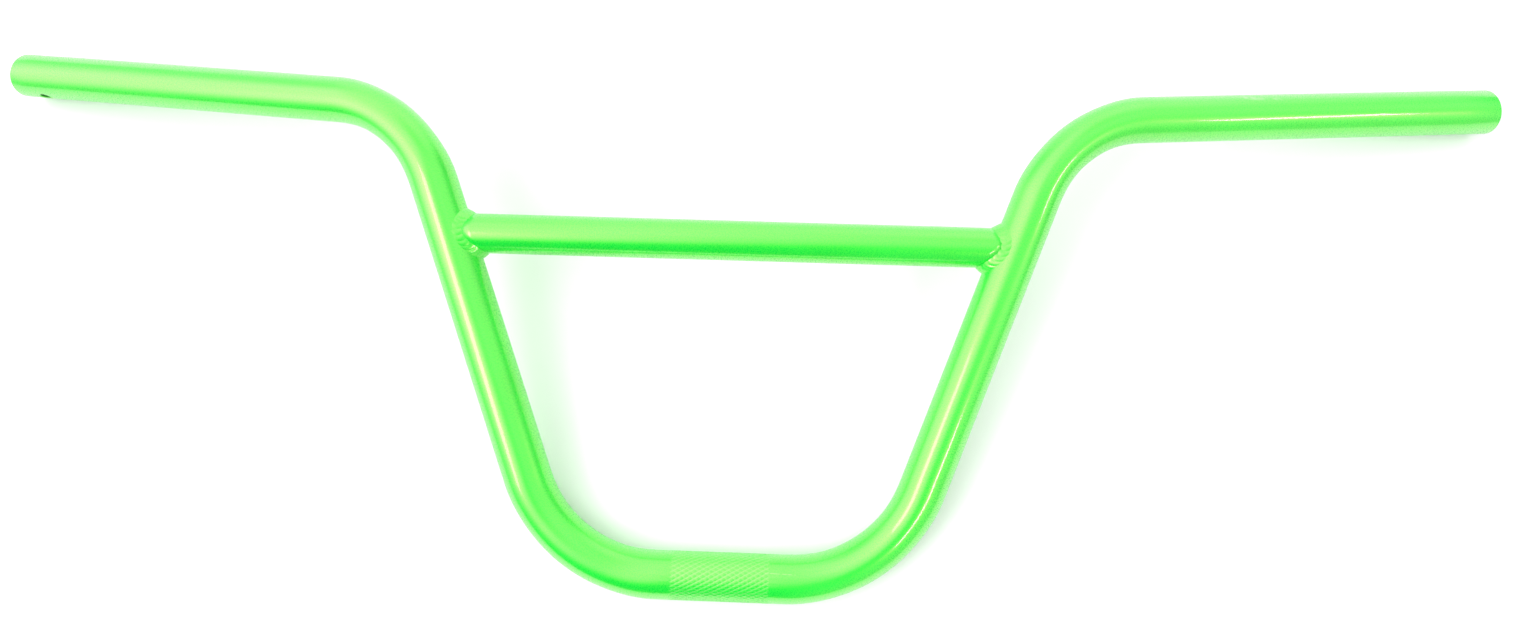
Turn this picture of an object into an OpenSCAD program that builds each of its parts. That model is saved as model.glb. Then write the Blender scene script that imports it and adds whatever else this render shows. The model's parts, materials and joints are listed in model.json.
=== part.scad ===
// Handlebar of bent steel tube, lying on its back: clamp centre at the origin,
// X along the clamp, Y toward the crossbar, Z up out of the front of the bar.

/* [Tube] */
// outside diameter of the main tube
tube_d = 22.2; // [21:0.1:25.4]
// wall thickness of the main tube
tube_wall = 1.5; // [1:0.1:3]
// width of the chamfer round each cut end
end_chamfer = 0.4; // [0.2:0.1:0.9]

/* [Bends] */
// length of the straight run under the stem clamp
clamp_w = 61; // [59:1:90]
// centreline radius of each lower bend
low_bend_r = 67.5; // [50:0.5:85]
// angle of each upright above the clamp run
leg_angle = 70; // [62:0.5:76]
// straight length of each upright
leg_len = 147.5; // [144:0.5:185]
// centreline radius of each upper bend
top_bend_r = 60; // [40:0.5:80]
// radius that the drawn bends lose against the straight runs
bend_slim = 0.45; // [0.2:0.05:0.8]
// length over which a straight run narrows into a bend
taper_len = 6; // [3:0.5:7]
// rise of each grip toward its end
up_sweep = 4; // [0:0.5:8]
// rearward angle of each grip
back_sweep = 11; // [6:0.5:16]
// straight length of each grip run
grip_len = 187; // [120:1:220]

/* [Crossbar] */
// outside diameter of the crossbar
cross_d = 19.1; // [16:0.1:20.5]
// wall thickness of the crossbar
cross_wall = 1.2; // [0.8:0.1:2.5]
// height of the crossbar above the clamp centre
cross_h = 159; // [75:1:162]

/* [Welds] */
// width of the bead along each tube
bead_w = 5; // [3:0.25:6.5]
// swell of the bead above a flat fillet
bead_swell = 0.35; // [0:0.05:0.8]
// number of ripples round each joint
ripples = 26; // [16:1:34]
// height of each ripple
ripple_h = 0.35; // [0.1:0.05:0.6]
// share of a ripple by which its crest runs ahead at mid bead
ripple_lag = 0.75; // [0:0.25:1]

/* [Knurl] */
// length of the knurled band
knurl_w = 47; // [30:1:49]
// number of diamonds round the band
knurl_around = 32; // [24:2:40]
// number of diamonds along the band
knurl_rows = 12; // [8:1:14]
// depth of the knurl
knurl_depth = 0.35; // [0.1:0.05:0.6]

/* [Holes] */
// diameter of the drain hole under the left grip
drain_d = 6.5; // [3:0.5:9]
// distance of the drain hole from the left end
drain_in = 15.5; // [8:0.5:40]
// turn of the drain hole from straight down toward the front
drain_turn = 12; // [-60:1:60]
// diameter of the vent from each upright into the crossbar
vent_d = 6; // [2:0.5:10]

/* [Hidden] */
$fn = 96;

paint = [0.2, 0.92, 0.3];
tube_r = tube_d / 2;
bore_r = tube_r - tube_wall;
cross_r = cross_d / 2;
cross_bore_r = cross_r - cross_wall;
past = 3;           // run of a cutter past the face it opens
seat_step = 0.1;    // step in radius where a bend enters a straight run
bend_seat = 0.3;    // length by which it enters
taper = [bend_slim - seat_step, taper_len];

// directions of the right half before the bar is laid down
along = [1, 0, 0];
upward = [0, 1, 0];
leg_dir = [cos(leg_angle), sin(leg_angle), 0];
grip_dir = [cos(back_sweep) * cos(up_sweep), cos(back_sweep) * sin(up_sweep), -sin(back_sweep)];
top_turn = acos(leg_dir * grip_dir);
top_inward = unit(grip_dir - (grip_dir * leg_dir) * leg_dir);
top_roll = atan2(top_inward.z, top_inward * [-sin(leg_angle), cos(leg_angle), 0]);

// where each run of the centreline begins
low_start = [clamp_w / 2, 0, 0];
leg_start = low_start + low_bend_r * [sin(leg_angle), 1 - cos(leg_angle), 0];
top_start = leg_start + leg_len * leg_dir;
grip_start = top_start + top_bend_r * (sin(top_turn) * leg_dir + (1 - cos(top_turn)) * top_inward);
grip_end = grip_start + grip_len * grip_dir;

// lean at which the clamp run and both grip ends touch one floor
flat = atan2(-grip_end.z, grip_end.y);
grip_fall = grip_dir.y * sin(flat) + grip_dir.z * cos(flat);
end_lift = tube_r * (1 - sqrt(1 - grip_fall * grip_fall));
lean = flat - asin(end_lift / norm([grip_end.y, grip_end.z]));

// drain hole: square to the grip, on its lower side
down = unit(-upward + (upward * grip_dir) * grip_dir);
fore = cross(grip_dir, down);
drain_dir = cos(drain_turn) * down - sin(drain_turn) * fore;

// weld bead: points across it and sections round the joint
bead_across = 6;
ripple_steps = 4;
bead_steps = ripples * ripple_steps;
toe_sink = 0.3;     // depth of each toe below the surface it meets
root_sink = 1.6;    // depth of the bead's root under both tubes

// knurl cutter: alternate lattice points stand high and low
knurl_skim = 0.02;  // depth of the diamond tips below the tube's surface
knurl_cols = 2 * knurl_around;
knurl_steps = 2 * knurl_rows;
knurl_clear = 0.6;  // reach of the cutter beyond the tube

function unit(v) = v / norm(v);

// columns x, y, z and origin of a frame
function frame(x, y, z, p) = [
    [x.x, y.x, z.x, p.x],
    [x.y, y.y, z.y, p.y],
    [x.z, y.z, z.z, p.z],
    [0, 0, 0, 1]];

// x of the right upright's centreline at height y
function leg_x(y) = leg_start.x + (y - leg_start.y) / tan(leg_angle);

// line where the crossbar's skin meets the upright's, at angle a round the crossbar
function root(a) =
    let (y = cross_h + cross_r * cos(a), z = cross_r * sin(a))
    [leg_x(y) - sqrt(tube_r * tube_r - z * z) / sin(leg_angle), y, z];

function cross_normal(a) = [0, cos(a), sin(a)];
function leg_foot(p) = leg_start + ((p - leg_start) * leg_dir) * leg_dir;
function leg_normal(p) = unit(p - leg_foot(p));
function on_leg(p, r) = leg_foot(p) + r * leg_normal(p);
function on_cross(p, r) = [p.x, cross_h, 0] + r * unit([0, p.y - cross_h, p.z]);

// scalloped ripple, its crest bowed ahead at mid bead
function ripple(i, v) =
    ripple_h * abs(sin(180 * (i / ripple_steps - ripple_lag * 4 * v * (1 - v))));

// closed section of the bead: toe on the crossbar, skin, toe on the upright, root
function bead_section(i) =
    let (a = 360 * i / bead_steps, p = root(a), nc = cross_normal(a), nl = leg_normal(p),
         t = unit(cross(nc, nl)), out = unit(nc + nl),
         toe_c = on_cross(p - bead_w * along, cross_r - toe_sink),
         toe_l = on_leg(p + bead_w * cross(nl, t), tube_r - toe_sink))
    concat(
        [for (k = [0 : bead_across])
            let (v = k / bead_across)
            (1 - v) * toe_c + v * toe_l + 4 * v * (1 - v) * (bead_swell + ripple(i, v)) * out],
        [p - root_sink * out]);

// triangles of a ring of n sections with m points each, wound outward
function ring_faces(n, m) = [
    for (i = [0 : n - 1], k = [0 : m - 1])
        let (a = i * m + k, b = i * m + (k + 1) % m,
             c = ((i + 1) % n) * m + (k + 1) % m, d = ((i + 1) % n) * m + k)
        each [[a, b, d], [b, c, d]]];

// solid ring of weld over the right joint
module bead_blob() {
    points = [for (i = [0 : bead_steps - 1]) each bead_section(i)];
    polyhedron(points, ring_faces(bead_steps, bead_across + 2));
}

// round bar of length len from p along d
module rod(p, d, len, r) {
    side = unit(cross(d, abs(d.z) < abs(d.x) ? [0, 0, 1] : along));
    multmatrix(frame(side, cross(d, side), d, p))
        cylinder(h = len, r = r);
}

// one straight run from the origin along X; near and far give each end's taper, [loss of radius, length]
module straight(len, r, near, far) {
    rotate([0, 90, 0])
        rotate_extrude()
            polygon([[0, 0], [r - near[0], 0], [r, near[1]],
                     [r, len - far[1]], [r - far[0], len], [0, len]]);
}

// one bend from the origin along X, turning toward Y, its ends seated in the runs it joins
module elbow(bend_r, turn, r) {
    seat = bend_seat / bend_r * 180 / PI;
    translate([0, bend_r, 0]) rotate([0, 0, -90 - seat])
        rotate_extrude(angle = turn + 2 * seat)
            translate([bend_r, 0])
                circle(r = r - bend_slim);
}

// the frame at the far end of such a bend
module past_elbow(bend_r, turn) {
    translate([0, bend_r, 0]) rotate([0, 0, turn])
        translate([0, -bend_r, 0]) children();
}

module at_upright() {
    translate(low_start) past_elbow(low_bend_r, leg_angle) children();
}

module at_top_bend() {
    at_upright() translate([leg_len, 0, 0]) rotate([top_roll, 0, 0]) children();
}

module at_grip() {
    at_top_bend() past_elbow(top_bend_r, top_turn) children();
}

module both_sides() {
    children();
    mirror(along) children();
}

// bends and upright of one half
module half_run(r) {
    translate(low_start) elbow(low_bend_r, leg_angle, r);
    at_upright() straight(leg_len, r, taper, taper);
    at_top_bend() elbow(top_bend_r, top_turn, r);
}

// outside of the whole tube, each end chamfered
module tube_outside() {
    translate(-low_start) straight(clamp_w, tube_r, taper, taper);
    both_sides() {
        half_run(tube_r);
        at_grip() straight(grip_len, tube_r, taper, [end_chamfer, end_chamfer]);
    }
}

// bore through the whole tube, open at both ends
module tube_inside() {
    translate(-low_start) straight(clamp_w, bore_r, taper, taper);
    both_sides() {
        half_run(bore_r);
        at_grip() straight(grip_len + 2 * past, bore_r, taper, [past, past]);
    }
}

// sleeve whose inner skin is the knurl: diamonds high at odd lattice points, grooves between
module knurl_cutter() {
    skin = [for (j = [0 : knurl_steps], i = [0 : knurl_cols - 1])
        let (r = tube_r - ((i + j) % 2 == 0 ? knurl_depth : knurl_skim), a = 360 * i / knurl_cols)
        [knurl_w * (j / knurl_steps - 1 / 2), r * cos(a), r * sin(a)]];
    shell = [for (j = [0, 1], i = [0 : knurl_cols - 1])
        let (r = tube_r + knurl_clear, a = 360 * i / knurl_cols)
        [knurl_w * (j - 1 / 2), r * cos(a), r * sin(a)]];
    base = len(skin);
    last = knurl_steps * knurl_cols;
    faces = concat(
        [for (j = [0 : knurl_steps - 1], i = [0 : knurl_cols - 1])
            let (a = j * knurl_cols + i, b = j * knurl_cols + (i + 1) % knurl_cols,
                 c = b + knurl_cols, d = a + knurl_cols)
            each (i + j) % 2 == 0 ? [[a, b, c], [a, c, d]] : [[a, b, d], [b, c, d]]],
        [for (i = [0 : knurl_cols - 1])
            let (n = (i + 1) % knurl_cols, a = base + i, b = base + n,
                 c = b + knurl_cols, d = a + knurl_cols)
            each [[a, d, b], [b, d, c],
                  [i, a, n], [n, a, b],
                  [last + i, last + n, d], [last + n, c, d]]]);
    polyhedron(concat(skin, shell), faces);
}

module drain_hole() {
    mirror(along)
        rod(grip_end - drain_in * grip_dir, drain_dir, tube_r + past, drain_d / 2);
}

// vents hidden inside the crossbar's ends
module vents() {
    both_sides()
        rod([leg_x(cross_h), cross_h, 0], -along, tube_r / sin(leg_angle) + past, vent_d / 2);
}

module crossbar_solid(r) {
    translate([-leg_x(cross_h), cross_h, 0]) rotate([0, 90, 0])
        cylinder(h = 2 * leg_x(cross_h), r = r);
}

// everything is shaped upright and laid down last
module laid() {
    rotate([lean, 0, 0]) children();
}

module main_tube() {
    color(paint) laid()
        difference() {
            tube_outside();
            tube_inside();
            knurl_cutter();
            drain_hole();
            vents();
        }
}

module crossbar() {
    color(paint) laid()
        difference() {
            crossbar_solid(cross_r);
            crossbar_solid(cross_bore_r);
            both_sides() half_run(tube_r);
        }
}

module weld_bead() {
    difference() {
        bead_blob();
        half_run(tube_r);
        crossbar_solid(cross_r);
    }
}

module weld_bead_left() {
    color(paint) laid() mirror(along) weld_bead();
}

module weld_bead_right() {
    color(paint) laid() weld_bead();
}

main_tube();
crossbar();
weld_bead_left();
weld_bead_right();
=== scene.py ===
import json
import math

import bpy
import numpy as np
from mathutils import Matrix, Vector


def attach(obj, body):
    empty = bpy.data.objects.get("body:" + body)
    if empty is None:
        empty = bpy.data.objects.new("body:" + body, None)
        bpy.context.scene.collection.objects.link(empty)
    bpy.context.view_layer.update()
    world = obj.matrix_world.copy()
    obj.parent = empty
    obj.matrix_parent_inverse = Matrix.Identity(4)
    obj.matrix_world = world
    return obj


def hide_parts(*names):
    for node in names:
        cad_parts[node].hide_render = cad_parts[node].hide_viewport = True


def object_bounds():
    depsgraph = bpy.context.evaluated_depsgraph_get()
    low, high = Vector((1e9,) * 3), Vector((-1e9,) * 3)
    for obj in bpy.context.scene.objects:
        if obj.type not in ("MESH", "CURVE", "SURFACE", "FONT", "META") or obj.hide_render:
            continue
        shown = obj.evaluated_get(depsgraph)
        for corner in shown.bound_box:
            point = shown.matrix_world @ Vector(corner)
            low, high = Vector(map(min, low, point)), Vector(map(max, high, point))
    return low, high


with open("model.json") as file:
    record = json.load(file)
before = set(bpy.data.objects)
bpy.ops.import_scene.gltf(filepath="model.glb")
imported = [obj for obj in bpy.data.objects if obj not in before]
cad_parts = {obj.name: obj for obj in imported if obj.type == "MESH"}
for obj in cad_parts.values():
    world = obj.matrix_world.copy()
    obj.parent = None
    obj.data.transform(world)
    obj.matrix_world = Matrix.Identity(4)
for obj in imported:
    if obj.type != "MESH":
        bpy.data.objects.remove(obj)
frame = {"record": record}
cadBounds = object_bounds()
mounts = {mount["name"]: mount for mount in frame["record"]["mounts"]}

# Camera: its place and the way it faces, in the frame of the upright bar, and the photograph's frame in pixels
camera = {
    "place": (0.044212, 0.161832, 0.507769),
    "turn": (-0.0324, 0.0271, 0.0284),  # rotation vector, in radians, from looking straight down
    "focal": 1064.177,
    "centre": (795.732, 202.418),
    "imageWidth": 1526,
    "imageHeight": 637,
    "sensor": 36.0,
    "clipStart": 0.01,
}

# Bends of the bar as it stands upright, in metres and degrees
bar = {
    "clampRun": 0.061,
    "lowBend": 0.0675,  # centreline radius
    "legAngle": 70,
    "leg": 0.1475,
    "topBend": 0.060,
    "upSweep": 4,
    "backSweep": 11,
    "grip": 0.187,
    "ease": 0.025,  # length inside each end of a bend over which it slims
    "slim": 0.00045,  # radius that a drawn bend loses
    "oval": 0.0003,  # further loss across the upper bend
    "crossHeight": 0.159,
}


def unit(v):
    return v / np.linalg.norm(v, axis=-1, keepdims=True)


def smooth(low, high, value):
    # Cubic ease from 0 at low to 1 at high
    t = np.clip((value - low) / (high - low), 0, 1)
    return t * t * (3 - 2 * t)


def turned(v, axis, angle):
    # Rodrigues' turn of each vector about one axis: v cos + (axis x v) sin + axis (axis . v) (1 - cos)
    c, s = np.cos(angle)[..., None], np.sin(angle)[..., None]
    return v * c + np.cross(axis, v) * s + axis * (v @ axis)[..., None] * (1 - c)


tubeRadius = mounts["stem_clamp"]["dims"]["r_mm"] / 1000
boreRadius = mounts["left_end_bore"]["dims"]["r_mm"] / 1000
legAngle = math.radians(bar["legAngle"])
upSweep, backSweep = math.radians(bar["upSweep"]), math.radians(bar["backSweep"])
along, upward, forward = np.eye(3)
legWay = np.array([math.cos(legAngle), math.sin(legAngle), 0])
legSide = np.array([-math.sin(legAngle), math.cos(legAngle), 0])
gripWay = np.array([
    math.cos(backSweep) * math.cos(upSweep),
    math.cos(backSweep) * math.sin(upSweep),
    -math.sin(backSweep),
])
topTurn = math.acos(legWay @ gripWay)
topInward = unit(gripWay - (gripWay @ legWay) * legWay)
topAxis = np.cross(legWay, topInward)
topRoll = math.atan2(topInward @ forward, topInward @ legSide)

# Lengths of the five runs of one half, and where each begins
runs = np.array([
    bar["clampRun"] / 2, bar["lowBend"] * legAngle, bar["leg"], bar["topBend"] * topTurn, bar["grip"],
])
starts = np.concatenate([[0], np.cumsum(runs)])
halfLength = starts[5]

# The bar leans back until the clamp run and both grips rest on the floor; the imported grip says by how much
gripAxis = mounts["right_grip"]["axis"]
lean = math.atan2(gripAxis[2], gripAxis[1]) - math.atan2(gripWay[2], gripWay[1])
leanMatrix = np.array([
    [1, 0, 0],
    [0, math.cos(lean), -math.sin(lean)],
    [0, math.sin(lean), math.cos(lean)],
])


def laid(points):
    return points @ leanMatrix.T


def centreline(s):
    # Point and two cross directions at signed length s: every run adds its own line or arc to the ones before
    u = np.abs(s)
    clamp, low, leg, top, grip = (np.clip(u - a, 0, n) for a, n in zip(starts, runs))
    lowTurn, turn = low / bar["lowBend"], top / bar["topBend"]
    point = (
        np.outer(clamp + bar["lowBend"] * np.sin(lowTurn), along)
        + np.outer(bar["lowBend"] * (1 - np.cos(lowTurn)), upward)
        + np.outer(leg + bar["topBend"] * np.sin(turn), legWay)
        + np.outer(bar["topBend"] * (1 - np.cos(turn)), topInward)
        + np.outer(grip, gripWay)
    )
    inPlane = turned(np.outer(np.cos(lowTurn), upward) - np.outer(np.sin(lowTurn), along), topAxis, turn)
    across = turned(np.tile(forward, (len(u), 1)), topAxis, turn)
    flip = np.where(s < 0, -1, 1)[:, None] * along + upward + forward
    return point * flip, inPlane * flip, across * flip


def inBend(s, first, last):
    # 0 outside a bend, easing to 1 from either end of it toward its middle
    u = np.abs(s)
    return smooth(0, bar["ease"], np.minimum(u - starts[first], starts[last] - u))


def skinRadius(s, angle, radius):
    # Round section, slimmer in the drawn bends and flattened a little toward the centre of each upper bend
    lowBend, topBend = inBend(s, 1, 2)[:, None], inBend(s, 3, 4)[:, None]
    flat = np.cos(angle[None, :] - topRoll) ** 2
    return radius - bar["slim"] * np.maximum(lowBend, topBend) - bar["oval"] * topBend * flat


def skin(s, angle, radius):
    # Grid of points: centreline plus radius times (cos inPlane + sin across)
    point, inPlane, across = centreline(s)
    angle = np.broadcast_to(angle, radius.shape)[..., None]
    return point[:, None] + radius[..., None] * (
        np.cos(angle) * inPlane[:, None] + np.sin(angle) * across[:, None])


def ringFaces(rings, around, first=0):
    # Quads between neighbouring rings of one grid, wound outward
    i, j = np.meshgrid(np.arange(rings - 1), np.arange(around), indexing="ij")
    n = (j + 1) % around
    quads = np.stack([i * around + j, i * around + n, (i + 1) * around + n, (i + 1) * around + j], -1)
    return first + quads.reshape(-1, 4)


def makePiece(name, points, faces, values=None):
    # One smooth mesh object on the bar's body, its place in its mesh, with per-point values as an attribute
    mesh = bpy.data.meshes.new(name)
    mesh.from_pydata(points.tolist(), [], [face for group in faces for face in group.tolist()])
    mesh.update()
    mesh.shade_smooth()
    for label, data in (values or {}).items():
        mesh.attributes.new(label, "FLOAT", "POINT").data.foreach_set("value", data.astype(np.float32))
    piece = bpy.data.objects.new(name, mesh)
    bpy.context.collection.objects.link(piece)
    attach(piece, "root")
    return piece


print("bar: half length %.4f m, lean %.3f degrees" % (halfLength, math.degrees(lean)))


# Main tube: one skin from the clamp out over both ends and back through the bore
tube = {
    "around": 128,
    "bendStep": 0.0019,  # between rings
    "straightStep": 0.02,
    "knurlWidth": 0.047,
    "knurlAround": 32,
    "knurlRows": 12,
    "knurlDepth": 0.00022,
    "grooveHalf": 0.15,  # half width of a groove, as a share of a diamond
    "knurlFade": 0.0012,  # length over which the knurl runs out at its ends
    "paintedGlintFrom": 0.35,  # depth, as a share of a groove's own, at which its colour turns paler as a painted glint
    "faintGlint": 0.35,  # how much paler the painted glint makes the second family of grooves than the first
    "samples": 8,  # grid steps to a diamond
    "lipOut": 0.0004,  # rounding of the mouth's edges
    "lipIn": 0.00025,
    "lipSteps": 5,
    "drainIn": 0.0155,  # from the end to the hole's centre
    "drainTurn": 12,
    "drainCells": 6,  # grid cells from the hole's centre to its rim
    "drainReach": 13,  # and to the last cell that makes way for it
    "drainRadius": 0.00325,
    "drainRound": 0.0002,
}

around = tube["around"]
cell = 2 * math.pi / around
angles = np.arange(around) * cell
fineAngles = np.arange(2 * around) * cell / 2
knurlHalf = tube["knurlWidth"] / 2

# The drain hole faces the floor, turned a little to the front; its centre sits on a grid line
drainDown = unit(-upward + (upward @ gripWay) * gripWay)
drainTurn = math.radians(tube["drainTurn"])
drainWay = math.cos(drainTurn) * drainDown - math.sin(drainTurn) * np.cross(gripWay, drainDown)
_, gripSide, gripAcross = (v[0] for v in centreline(np.array([halfLength])))
drainColumn = round(math.atan2(drainWay @ gripAcross, drainWay @ gripSide) / cell)
drainCentre = -(halfLength - tube["drainIn"])
drainCell = tubeRadius * cell


def spread(first, last, step):
    # Even stations from first up to, but not including, last
    return np.linspace(first, last, max(1, math.ceil((last - first) / step)), endpoint=False)


def stations(begin, bendStep):
    # Rings of the right half: close in the bends, wide on the straights
    straightStep = tube["straightStep"]
    marks = [begin, *starts[1:5], halfLength - tube["lipOut"]]
    steps = [straightStep, bendStep, straightStep, bendStep, straightStep]
    return np.concatenate([
        *(spread(mark, end, step) for mark, end, step in zip(marks, marks[1:], steps)), marks[-1:]])


def withDrain(s):
    # Swaps the rings near the hole for a square patch of the grid's own cell size
    reach = tube["drainReach"]
    patch = drainCentre + drainCell * np.arange(-reach, reach + 1)
    outside = s[(s < patch[0] - drainCell / 2) | (s > patch[-1] + drainCell / 2)]
    return np.sort(np.concatenate([outside, patch]))


def drained(s, radius):
    # Near the hole each square loop of the grid eases from a circle, lateral offset = loop size, to itself
    i = np.round((s - drainCentre) / drainCell)[:, None]
    j = (np.arange(around) - drainColumn + around / 2) % around - around / 2
    loop = np.maximum(np.abs(i), np.abs(j)[None, :])
    hole, reach = tube["drainCells"], tube["drainReach"]
    near = (loop < reach) & (np.abs(s - drainCentre)[:, None] < (reach + 0.5) * drainCell)
    ease = np.where(near, 1 - smooth(hole + 1, reach, loop), 0)
    heading = np.arctan2(j[None, :], i)
    size = tube["drainRadius"] + tube["drainRound"] + (loop - hole) * drainCell
    sideways = radius * np.sin(j * cell)
    side = (1 - ease) * sideways + ease * size * np.sin(heading)
    turn = np.where(near, np.arcsin(np.clip(side / radius, -1, 1)), 0) + drainColumn * cell
    angle = np.where(near, turn, angles[None, :])
    shift = np.where(near, (1 - ease) * (s - drainCentre)[:, None] + ease * size * np.cos(heading), 0)
    moved = np.where(near, drainCentre + shift, s[:, None])
    return moved, angle, np.where(near, loop, reach)


def knurl(s, angle):
    # Two families of rounded grooves cross: depth falls off with the distance to the nearest whole number
    turns = tube["knurlAround"] * angle[None, :] / (2 * math.pi)
    rows = tube["knurlRows"] * (s[:, None] / tube["knurlWidth"] + 0.5)
    phases = turns + rows, turns - rows
    grooves = [1 - smooth(0, tube["grooveHalf"], np.abs(phase - np.round(phase))) for phase in phases]
    edge = smooth(0, tube["knurlFade"], knurlHalf - np.abs(s))[:, None]
    # Painted highlight: the grooves are coloured paler toward their bottoms, more so in one family, standing in
    # for the glints their edges catch
    bright = [smooth(tube["paintedGlintFrom"], 1, depth) for depth in grooves]
    paintedGlint = edge * np.maximum(bright[0], tube["faintGlint"] * bright[1])
    return tube["knurlDepth"] * edge * np.maximum(*grooves), paintedGlint


def lip(sign, radiusOut, radiusIn):
    # Quarter round at the outer edge, flat of the cut, quarter round into the bore: (station, radius) pairs
    quarter = np.linspace(0, math.pi / 2, tube["lipSteps"])
    outer, inner = tube["lipOut"], tube["lipIn"]
    s = np.concatenate([halfLength - outer * (1 - np.sin(quarter)), halfLength - inner * (1 - np.cos(quarter))])
    r = np.concatenate([radiusOut - outer * (1 - np.cos(quarter)), radiusIn + inner * (1 - np.sin(quarter))])
    return sign * s, r


def straightSkin(s, radius):
    # The round end: every ring of its own radius
    point, inPlane, across = centreline(s)
    ring = np.cos(angles)[None, :, None] * inPlane[:, None] + np.sin(angles)[None, :, None] * across[:, None]
    return point[:, None] + radius[:, None, None] * ring


def movedSkin(s, radius):
    # Skin whose points near the drain hole have slid along and round the tube; radius is a plain number there
    moved, angle, loop = drained(s, radius)
    flat = moved.ravel()
    point, inPlane, across = centreline(flat)
    r = skinRadius(s, angles, radius).ravel()[:, None]
    a = angle.ravel()[:, None]
    return (point + r * (np.cos(a) * inPlane + np.sin(a) * across)).reshape(len(s), around, 3), loop


def nearest(values, wanted):
    return int(np.argmin(np.abs(values - wanted)))


def seams(first, fineRings):
    # Triangles that join the coarse grid's last ring and first ring to the knurl's, which has twice the points
    j = np.arange(around)
    n = (j + 1) % around
    last, lastFine = first - around, first + (fineRings - 1) * 2 * around
    a, b = last + j, last + n
    f, g, h = first + 2 * j, first + 2 * j + 1, first + 2 * n
    intoFine = np.concatenate([np.stack([a, g, f], -1), np.stack([a, b, g], -1), np.stack([b, h, g], -1)])
    f, g, h = lastFine + 2 * j, lastFine + 2 * j + 1, lastFine + 2 * n
    outOfFine = np.concatenate([np.stack([f, g, j], -1), np.stack([g, n, j], -1), np.stack([g, h, n], -1)])
    return intoFine, outOfFine


def drainWall(points, outerRow, innerRow):
    # The hole's wall: from the square loop round its outer rim, rounded, down to the same loop in the bore
    i = np.arange(-tube["drainCells"], tube["drainCells"])
    k = np.full(len(i), tube["drainCells"])
    walk = np.concatenate([np.stack([i, -k]), np.stack([k, i]), np.stack([-i, k]), np.stack([-k, -i])], 1)
    column = (drainColumn + walk[1]) % around
    outerRim = (outerRow + walk[0]) * around + column
    innerRim = (innerRow - walk[0]) * around + column
    centre, side, acrossWay = (v[0] for v in centreline(np.array([drainCentre])))
    holeWay = math.cos(drainColumn * cell) * side + math.sin(drainColumn * cell) * acrossWay
    rim = points[outerRim] - centre
    axial = (rim @ holeWay)[:, None] * holeWay
    lateral = rim - axial
    lower = centre + axial - tube["drainRound"] * holeWay + lateral * (1 - tube["drainRound"] / (
        tube["drainRadius"] + tube["drainRound"]))
    middle = len(points) + np.arange(len(outerRim))
    following = np.roll(np.arange(len(outerRim)), -1)
    wallUp = np.stack([outerRim, middle, middle[following], outerRim[following]], -1)
    wallDown = np.stack([middle, innerRim, innerRim[following], middle[following]], -1)
    return lower, wallUp, wallDown


def buildTube():
    # Rings in order: right side, right mouth, bore, left mouth, left side; then the knurl's own grid
    half = stations(knurlHalf, tube["bendStep"])
    rightOut, leftOut = half[1:], withDrain(-half[:0:-1])
    inner = stations(0, 2 * tube["bendStep"])
    inner = withDrain(np.concatenate([-inner[:0:-1], inner]))
    inner = inner[np.abs(inner) < halfLength - 2 * tube["lipIn"]]
    lipS, lipR = lip(1, tubeRadius, boreRadius)

    rightGrid = skin(rightOut[:-1], angles, skinRadius(rightOut[:-1], angles, tubeRadius))
    rightLip = straightSkin(lipS, lipR)
    innerGrid, innerLoop = movedSkin(inner, boreRadius)
    leftLip = straightSkin(-lipS[::-1], lipR[::-1])
    leftGrid, leftLoop = movedSkin(leftOut[1:], tubeRadius)
    coarse = np.concatenate([rightGrid, rightLip, innerGrid[::-1], leftLip, leftGrid])
    outside, lips = len(rightGrid) + len(lipS), len(lipS)
    whole = np.full((outside, around), tube["drainReach"])
    loops = np.concatenate([whole, innerLoop[::-1], whole[:lips], leftLoop])
    depths = np.concatenate([
        np.zeros(outside), halfLength - np.abs(inner[::-1]), np.zeros(lips + len(leftGrid))])

    fineS = np.linspace(-knurlHalf, knurlHalf, tube["knurlRows"] * tube["samples"] + 1)
    groove, paintedGlint = knurl(fineS, fineAngles)
    fine = skin(fineS, fineAngles, tubeRadius - groove)

    # Faces: the coarse grid without the hole, the fine grid, and a strip of triangles at each of its ends
    quads = ringFaces(len(coarse), around)
    quads = quads[(loops.ravel()[quads] > tube["drainCells"]).any(1)]
    first = len(coarse) * around
    fineQuads = ringFaces(len(fine), 2 * around, first)
    intoFine, outOfFine = seams(first, len(fine))

    points = np.concatenate([coarse.reshape(-1, 3), fine.reshape(-1, 3)])
    outerRow = len(coarse) - len(leftGrid) + nearest(leftOut[1:], drainCentre)
    innerRow = outside + nearest(inner[::-1], drainCentre)
    lower, wallUp, wallDown = drainWall(points, outerRow, innerRow)
    points = np.concatenate([points, lower])

    depth = np.concatenate([np.repeat(depths, around), np.zeros(len(points) - first)])
    # Painted highlight: the paler colour of the knurl's grooves, per point
    paintedGlints = np.zeros(len(points))
    paintedGlints[first:first + paintedGlint.size] = paintedGlint.ravel()
    used = np.unique(np.concatenate([group.ravel() for group in (quads, fineQuads, wallUp, wallDown)]))
    place = np.full(len(points), -1)
    place[used] = np.arange(len(used))
    faces = [place[group] for group in (quads, fineQuads, intoFine, outOfFine, wallUp, wallDown)]
    return makePiece("barTube", laid(points[used]), faces, {
        "boreDepth": depth[used], "paintedGrooveGlint": paintedGlints[used]})


barTube = buildTube()
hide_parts("main_tube")
print("main tube: %d faces" % len(barTube.data.polygons))


# Crossbar: straight tube, its ends cut to the saddle of the uprights
cross = {
    "radius": 0.00955,
    "wall": 0.0012,
    "sink": 0.0004,  # how far its ends reach into the uprights
    "around": 128,
    "rings": 36,
}


def legX(height):
    # Sideways place of the right upright's axis at a height
    start = bar["clampRun"] / 2 + bar["lowBend"] * math.sin(legAngle)
    return start + (height - bar["lowBend"] * (1 - math.cos(legAngle))) / math.tan(legAngle)


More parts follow.
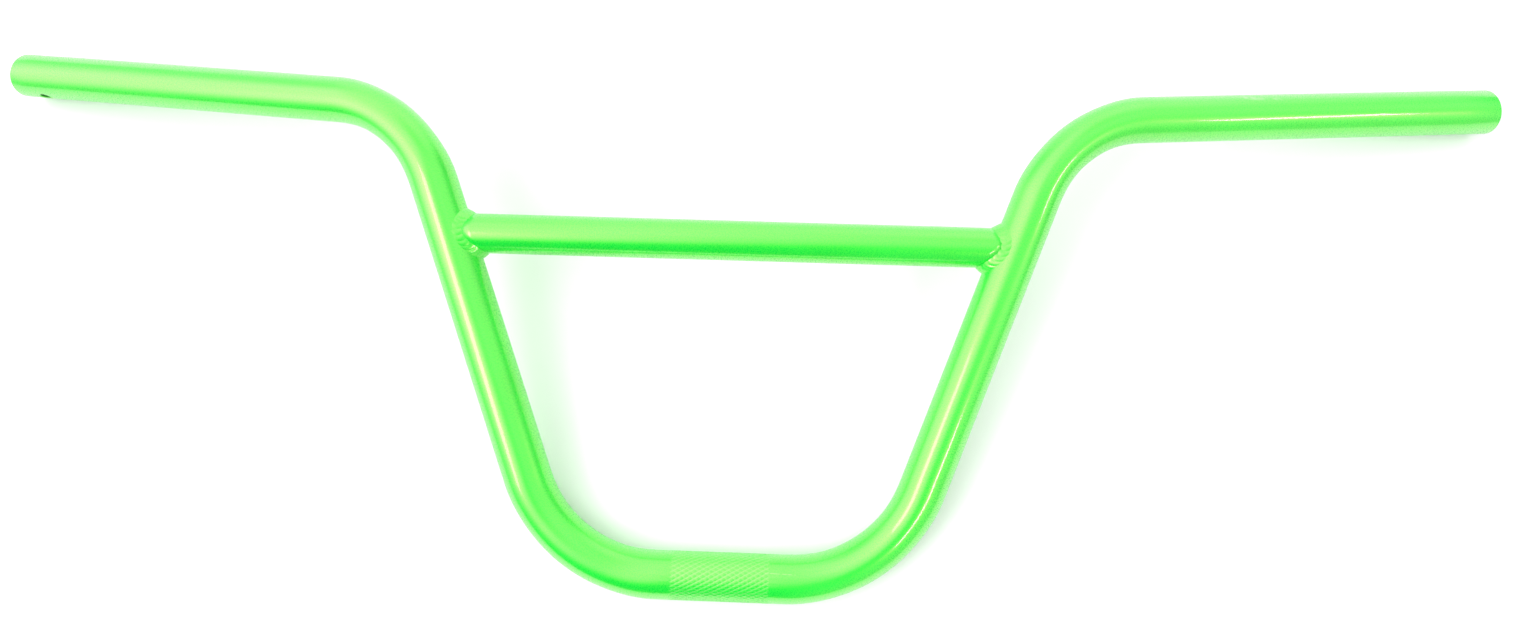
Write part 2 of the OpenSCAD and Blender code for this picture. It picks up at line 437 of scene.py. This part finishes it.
def saddle(angle, radius):
    # Points where a rod of this radius along X meets the upright's skin
    height = bar["crossHeight"] + radius * np.cos(angle)
    front = radius * np.sin(angle)
    return np.stack([
        legX(height) - np.sqrt(tubeRadius ** 2 - front ** 2) / math.sin(legAngle), height, front], -1)


def buildCross():
    # Each line along the tube runs from one saddle to the other; the inside goes back the same way
    angle = np.arange(cross["around"]) * 2 * math.pi / cross["around"]
    share = np.linspace(-1, 1, cross["rings"])[:, None, None]
    walls = []
    for radius, step in ((cross["radius"], 1), (cross["radius"] - cross["wall"], -1)):
        end = saddle(angle, radius) + cross["sink"] * along
        walls.append((end[None] * (share * along + upward + forward))[::step])
    points = np.concatenate(walls).reshape(-1, 3)
    rings = 2 * cross["rings"]
    faces = ringFaces(rings, cross["around"])
    j = np.arange(cross["around"])
    n = (j + 1) % cross["around"]
    last = (rings - 1) * cross["around"]
    close = np.stack([last + j, last + n, n, j], -1)
    return makePiece("crossbarTube", laid(points), [faces, close], {"boreDepth": np.zeros(len(points))})


crossbarTube = buildCross()
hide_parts("crossbar")
print("crossbar: %d faces" % len(crossbarTube.data.polygons))


# Weld beads: a ring of weld over each saddle, from a toe on the crossbar to a toe on the upright
weld = {
    "width": 0.0044,  # from root to toe along the crossbar
    "legWidth": 0.0030,
    "ripples": 26,
    "rippleHeight": 0.00018,
    "lag": 0.75,  # ripples by which a ripple's middle stays behind its ends
    "unsteady": 0.3,  # share by which the ripples vary in height
    "steps": 14,  # to a ripple
    "across": 20,
    "toeSink": 0.0003,  # both toes and the root lie below the tubes' skins
    "rootSink": 0.0016,
}


def buildWeld(name, sign):
    # Chord from toe to toe plus 4 v (1 - v) times the ripple, raised along the sum of both tubes' normals;
    # the ripple is |sin| of the way round, held back by the bow, and drifts in height round the joint
    count = weld["ripples"] * weld["steps"]
    angle = np.arange(count) * 2 * math.pi / count
    root = saddle(angle, cross["radius"])
    crossNormal = np.stack([0 * angle, np.cos(angle), np.sin(angle)], -1)
    legBase = np.array([legX(0), 0, 0])
    foot = legBase + ((root - legBase) @ legWay)[:, None] * legWay
    legNormal = unit(root - foot)
    runWay = unit(np.cross(crossNormal, legNormal))
    out = unit(crossNormal + legNormal)
    toeCross = root - weld["width"] * along
    axis = np.array([0, bar["crossHeight"], 0])
    offset = (toeCross - axis) * (upward + forward)
    toeCross = toeCross * along + axis + (cross["radius"] - weld["toeSink"]) * unit(offset)
    toeLeg = root + weld["legWidth"] * np.cross(legNormal, runWay)
    foot = legBase + ((toeLeg - legBase) @ legWay)[:, None] * legWay
    toeLeg = foot + (tubeRadius - weld["toeSink"]) * unit(toeLeg - foot)
    v = np.linspace(0, 1, weld["across"])[None, :, None]
    bow = 4 * v * (1 - v)
    phase = (np.arange(count) / weld["steps"])[:, None, None]
    drift = 1 - weld["unsteady"] * (0.5 + 0.5 * np.sin(3 * angle + 2 * np.sin(2 * angle)))[:, None, None]
    ripple = weld["rippleHeight"] * drift * np.abs(np.sin(math.pi * (phase - weld["lag"] * bow)))
    face = (1 - v) * toeCross[:, None] + v * toeLeg[:, None] + bow * ripple * out[:, None]
    section = np.concatenate([face, (root - weld["rootSink"] * out)[:, None]], 1)
    points = section.reshape(-1, 3) * (sign * along + upward + forward)
    m = weld["across"] + 1
    i, k = np.meshgrid(np.arange(count), np.arange(m), indexing="ij")
    nextI, nextK = (i + 1) % count, (k + 1) % m
    quads = np.stack([i * m + k, i * m + nextK, nextI * m + nextK, nextI * m + k], -1).reshape(-1, 4)
    faces = quads[:, ::-sign]
    return makePiece(name, laid(points), [faces], {"boreDepth": np.zeros(len(points))})


weldLeft = buildWeld("weldLeft", -1)
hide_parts("weld_bead_left")
weldRight = buildWeld("weldRight", 1)
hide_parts("weld_bead_right")
print("welds: %d faces each" % len(weldLeft.data.polygons))


class Wire:
    # A shader socket that takes Python arithmetic: each operator adds its Math node
    def __init__(self, tree, socket):
        self.tree = tree
        self.socket = socket

    def node(self, kind, settings=None, inputs=None, output=0):
        made = self.tree.nodes.new(kind)
        for key, value in (settings or {}).items():
            setattr(made, key, value)
        for key, value in (inputs or {}).items():
            self.feed(made.inputs[key], value)
        return Wire(self.tree, made.outputs[output] if made.outputs else None)

    def feed(self, socket, value):
        if isinstance(value, Wire):
            self.tree.links.new(value.socket, socket)
        else:
            socket.default_value = value

    def math(self, operation, *values):
        return self.node("ShaderNodeMath", {"operation": operation}, dict(enumerate(values)))

    def vector(self, operation, other=None, output="Vector"):
        inputs = {0: self} if other is None else {0: self, 1: other}
        return self.node("ShaderNodeVectorMath", {"operation": operation}, inputs, output)

    def __add__(self, other):
        return self.math("ADD", self, other)

    def __sub__(self, other):
        return self.math("SUBTRACT", self, other)

    def __rsub__(self, other):
        return self.math("SUBTRACT", other, self)

    def __mul__(self, other):
        return self.math("MULTIPLY", self, other)

    __radd__ = __add__
    __rmul__ = __mul__

    def ease(self, low, high):
        # Smooth step from 0 at low to 1 at high
        return self.node("ShaderNodeMapRange", {"interpolation_type": "SMOOTHSTEP"}, {
            "Value": self, "From Min": low, "From Max": high, "To Min": 0.0, "To Max": 1.0})

    def tint(self, colour, other):
        # Colour mix, from colour at 0 to other at 1
        return self.node("ShaderNodeMix", {"data_type": "RGBA"}, {0: self, 6: colour, 7: other}, 2)

    def noise(self, scale, detail=2.0):
        return self.node("ShaderNodeTexNoise", None, {"Vector": self, "Scale": scale, "Detail": detail})


# Fluorescent green pearl under a clear coat; colours are linear
pearl = {
    "deep": (0.003, 0.67, 0.043, 1),
    "pale": (0.005, 0.73, 0.050, 1),
    "rimDull": 0.9,  # share of the clear coat lost along the rim
    "rimFrom": 0.45,
    "flakeSize": 0.00032,
    "flakeTint": (0.03, 0.86, 0.06, 1),
    "flakeShare": 0.10,
    "flakeFrom": 0.75,
    "cloudSize": 0.03,
    "rough": 0.28,
    "roughSwing": 0.05,
    "ior": 2.1,
    "tint": (1.0, 0.95, 0.28, 1),  # of the gloss
    "coatRough": 0.06,
    "coatIor": 1.5,
    "peelSize": 0.0022,
    "peel": 0.05,  # orange peel, as a share of the relief
    "flakeBump": 0.12,
    "relief": 0.00012,
    "reliefShare": 0.25,
    "steel": (0.30, 0.29, 0.27, 1),
    "soot": (0.12, 0.11, 0.10, 1),
    "steelMetal": 0.85,
    "steelRough": 0.2,  # added to the paint's
    "overspray": 0.016,  # how far paint dusts into the bore
    "fullPaint": 0.2,  # share of that length that is painted as outside
    # noise in cycles to a metre
    "steelGrain": 160,
    "scuffGrain": 450,
    "lineGrain": 700,
    "sprayGrain": 900,
    "chalk": (0.55, 0.95, 0.50, 1),
    "scuffShare": 0.4,
    "scuffRough": 0.15,
    # painted glint in the knurl's grooves: how much of the colour it takes over
    "paintedGlintShare": 0.75,
    # pale colour of the scratch, also used for the painted glint in the grooves
    "scratchAndGlintColour": (0.42, 0.86, 0.30, 1),
    "lineHalf": 0.00016,
    "lineCore": 0.4,
    "lineShare": 0.8,
    "lineRough": 0.2,
    # thin scratch beside the knurl: its two ends
    "line": ((0.02115, 0.00370, 0.01046), (0.03530, 0.00332, 0.01057)),
    # pale scuffs: (centre, half lengths along x, y, z)
    "scuffs": [
        ((0.2622, 0.2336, 0.0300), (0.0028, 0.0015, 0.0015)),
        ((0.2500, 0.2333, 0.0315), (0.0100, 0.0020, 0.0020)),
    ],
}


def makePearl():
    material = bpy.data.materials.new("pearlPaint")
    material.use_nodes = True
    tree = material.node_tree
    tree.nodes.clear()
    start = Wire(tree, None)
    place = start.node("ShaderNodeTexCoord", output="Object")
    depth = start.node("ShaderNodeAttribute", {"attribute_name": "boreDepth"}, output="Fac")
    cloud = place.noise(1 / pearl["cloudSize"], 3.0).ease(0.3, 0.7)
    flake = place.node("ShaderNodeTexVoronoi", {"feature": "F1"}, {
        "Vector": place, "Scale": 1 / pearl["flakeSize"]}, "Color")
    spark = flake.node("ShaderNodeSeparateColor", None, {0: flake}, 0)
    green = cloud.tint(pearl["deep"], pearl["pale"])
    green = (spark.ease(pearl["flakeFrom"], 1.0) * pearl["flakeShare"]).tint(green, pearl["flakeTint"])
    # The clear coat looks duller where it is seen along the surface
    rim = start.node("ShaderNodeLayerWeight", output="Facing").ease(pearl["rimFrom"], 1.0)
    # The scratch: distance to a segment between two points, worn a little uneven
    first, last = (Vector(end) for end in pearl["line"])
    span = last - first
    offset = place.vector("SUBTRACT", first)
    share = offset.vector("DOT_PRODUCT", span, output="Value") * (1 / span.length_squared)
    closest = start.node("ShaderNodeVectorMath", {"operation": "SCALE"}, {
        0: span, "Scale": share.math("MINIMUM", share.math("MAXIMUM", share, 0.0), 1.0)})
    gap = offset.vector("DISTANCE", closest, output="Value")
    line = 1 - gap.ease(pearl["lineCore"] * pearl["lineHalf"], pearl["lineHalf"])
    line = line * place.noise(pearl["lineGrain"]).ease(0.3, 0.5)
    green = (line * pearl["lineShare"]).tint(green, pearl["scratchAndGlintColour"])
    # The scuffs: soft ellipsoids broken up by noise
    scuff = 0
    for centre, halves in pearl["scuffs"]:
        local = place.vector("SUBTRACT", Vector(centre)).vector("DIVIDE", Vector(halves))
        scuff = scuff + (1 - local.vector("LENGTH", output="Value").ease(0.3, 1.0))
    scuff = scuff * place.noise(pearl["scuffGrain"], 4.0).ease(0.35, 0.65)
    green = (scuff * pearl["scuffShare"]).tint(green, pearl["chalk"])
    # Painted highlight: the knurl's grooves are coloured paler than the skin between them, standing in for the
    # glints they catch
    paintedGlint = start.node("ShaderNodeAttribute", {"attribute_name": "paintedGrooveGlint"}, output="Fac")
    green = (paintedGlint * pearl["paintedGlintShare"]).tint(green, pearl["scratchAndGlintColour"])
    # Past the mouth the paint thins out over bare, sooty steel
    reach = pearl["overspray"]
    spray = (place.noise(pearl["sprayGrain"]) - 0.5) * 0.5 * reach
    bare = (depth + spray).ease(pearl["fullPaint"] * reach, reach)
    metal = place.noise(pearl["steelGrain"], 4.0).ease(0.35, 0.7).tint(pearl["steel"], pearl["soot"])
    colour = bare.tint(green, metal)
    rough = pearl["rough"] + (spark - 0.5) * pearl["roughSwing"]
    rough = rough + bare * pearl["steelRough"] + scuff * pearl["scuffRough"] + line * pearl["lineRough"]
    peel = place.noise(1 / pearl["peelSize"], 1.0)
    height = peel * pearl["peel"] + spark * pearl["flakeBump"]
    bump = start.node("ShaderNodeBump", None, {
        "Strength": pearl["reliefShare"], "Distance": pearl["relief"], "Height": height})
    shader = start.node("ShaderNodeBsdfPrincipled", None, {
        "Base Color": colour,
        "Roughness": rough,
        "Metallic": bare * pearl["steelMetal"],
        "IOR": pearl["ior"],
        "Specular Tint": pearl["tint"],
        "Coat Weight": (1 - bare) * (1 - rim * pearl["rimDull"]),
        "Coat Roughness": pearl["coatRough"],
        "Coat IOR": pearl["coatIor"],
        "Normal": bump,
    })
    start.node("ShaderNodeOutputMaterial", None, {"Surface": shader})
    return material


pearlPaint = makePearl()
for piece in (barTube, crossbarTube, weldLeft, weldRight):
    piece.data.materials.append(pearlPaint)
print("paint made")


# Studio: pale floor, a few soft bright patches of surroundings, and small lamps
studio = {
    "floorColour": (0.86, 0.86, 0.86, 1),
    "floorRough": 0.9,
    "floorGloss": 0.1,
    "floorSize": 8.0,
    "aim": (0.0, 0.12, 0.02),
    "wide": 0.64,  # cosine of the angle at which a patch of sky has faded out
    "narrow": 0.85,
    # patches of sky: (direction, width, strength)
    "sky": [
        ((-0.64, 0.0, 0.77), "wide", 1.06),
        ((0.64, 0.0, 0.77), "wide", 0.72),
        ((0.32, 0.56, 0.77), "wide", 0.50),
        ((0.0, 0.97, 0.24), "wide", 1.42),
        ((-0.69, 0.69, 0.24), "wide", 0.34),
        ((-0.97, 0.0, 0.24), "wide", 0.69),
        ((0.69, 0.69, 0.24), "wide", 0.28),
        ((0.69, -0.69, 0.24), "wide", 0.6),
        ((-0.42, -0.07, 0.90), "narrow", 0.56),
        ((-0.50, -0.30, 0.81), "narrow", 1.2),
        ((-0.64, -0.44, 0.63), "narrow", 0.47),
        ((-0.80, -0.06, 0.60), "narrow", 0.58),
        ((0.08, 0.10, 0.99), "narrow", 0.34),
        ((-0.35, 0.45, 0.82), "narrow", 1.3),
        ((-0.85, 0.35, 0.40), "narrow", 0.69),
    ],
    # name: (direction from the bar, direction of its long side, distance, length, width, watts)
    "lamps": {
        "keyLamp": ((-0.56, -0.28, 0.78), (-0.3, -0.78, -0.43), 1.5, 0.9, 0.34, 5.0),
        "sideLamp": ((0.470, -0.565, 0.678), (1.0, 0.93, -0.1), 1.278, 0.43, 0.10, 2.2),
        "farLamp": ((0.821, -0.121, 0.557), (1.0, 0.93, -0.1), 1.379, 0.34, 0.08, 1.5),
    },
}


def makeFloor():
    lowest = cadBounds[0][2]
    half = studio["floorSize"] / 2
    corners = (-half, -half), (half, -half), (half, half), (-half, half)
    mesh = bpy.data.meshes.new("floor")
    mesh.from_pydata([(x, y, lowest) for x, y in corners], [], [(0, 1, 2, 3)])
    floor = bpy.data.objects.new("floor", mesh)
    bpy.context.collection.objects.link(floor)
    material = bpy.data.materials.new("palePaper")
    material.use_nodes = True
    shader = material.node_tree.nodes["Principled BSDF"]
    shader.inputs["Base Color"].default_value = studio["floorColour"]
    shader.inputs["Roughness"].default_value = studio["floorRough"]
    shader.inputs["Specular IOR Level"].default_value = studio["floorGloss"]
    mesh.materials.append(material)


def makeLamps():
    aim = Vector(studio["aim"])
    for name, (way, side, distance, length, width, watts) in studio["lamps"].items():
        light = bpy.data.lights.new(name, "AREA")
        light.shape = "RECTANGLE"
        light.size, light.size_y, light.energy = length, width, watts
        lamp = bpy.data.objects.new(name, light)
        away = Vector(way).normalized()
        acrossWay = away.cross(Vector(side)).normalized()
        matrix = Matrix((acrossWay.cross(away), acrossWay, away)).transposed().to_4x4()
        matrix.translation = aim + distance * away
        lamp.matrix_world = matrix
        bpy.context.collection.objects.link(lamp)


def makeSky():
    world = bpy.data.worlds.new("studioSky")
    world.use_nodes = True
    tree = world.node_tree
    tree.nodes.clear()
    start = Wire(tree, None)
    way = start.node("ShaderNodeTexCoord", output="Generated")
    level = 0
    for centre, width, strength in studio["sky"]:
        facing = start.node("ShaderNodeVectorMath", {"operation": "DOT_PRODUCT"}, {
            0: way, 1: Vector(centre).normalized()}, "Value")
        level = level + strength * facing.ease(studio[width], 1.0)
    glow = start.node("ShaderNodeBackground", None, {"Color": (1, 1, 1, 1), "Strength": level})
    start.node("ShaderNodeOutputWorld", None, {"Surface": glow})
    bpy.context.scene.world = world


def makeCamera():
    # The fitted view: rotation vector on top of looking down, carried with the bar's lean
    turn = np.array(camera["turn"])
    size = np.linalg.norm(turn)
    rotation = turned(np.eye(3), turn / size, np.full(3, size)).T @ np.diag([1.0, -1.0, -1.0])
    axes = laid(rotation * np.array([[1], [-1], [-1]])).T
    data = bpy.data.cameras.new("view")
    data.sensor_width = camera["sensor"]
    data.lens = camera["sensor"] * camera["focal"] / camera["imageWidth"]
    data.shift_x = (camera["imageWidth"] / 2 - camera["centre"][0]) / camera["imageWidth"]
    data.shift_y = (camera["centre"][1] - camera["imageHeight"] / 2) / camera["imageWidth"]
    data.clip_start = camera["clipStart"]
    eye = bpy.data.objects.new("view", data)
    place = laid(np.array([camera["place"]]))[0]
    matrix = Matrix(axes.tolist()).to_4x4()
    matrix.translation = Vector(place)
    eye.matrix_world = matrix
    bpy.context.collection.objects.link(eye)
    bpy.context.scene.camera = eye


makeFloor()
makeLamps()
makeSky()
makeCamera()
bpy.context.scene.view_settings.view_transform = "Standard"
print("studio made")
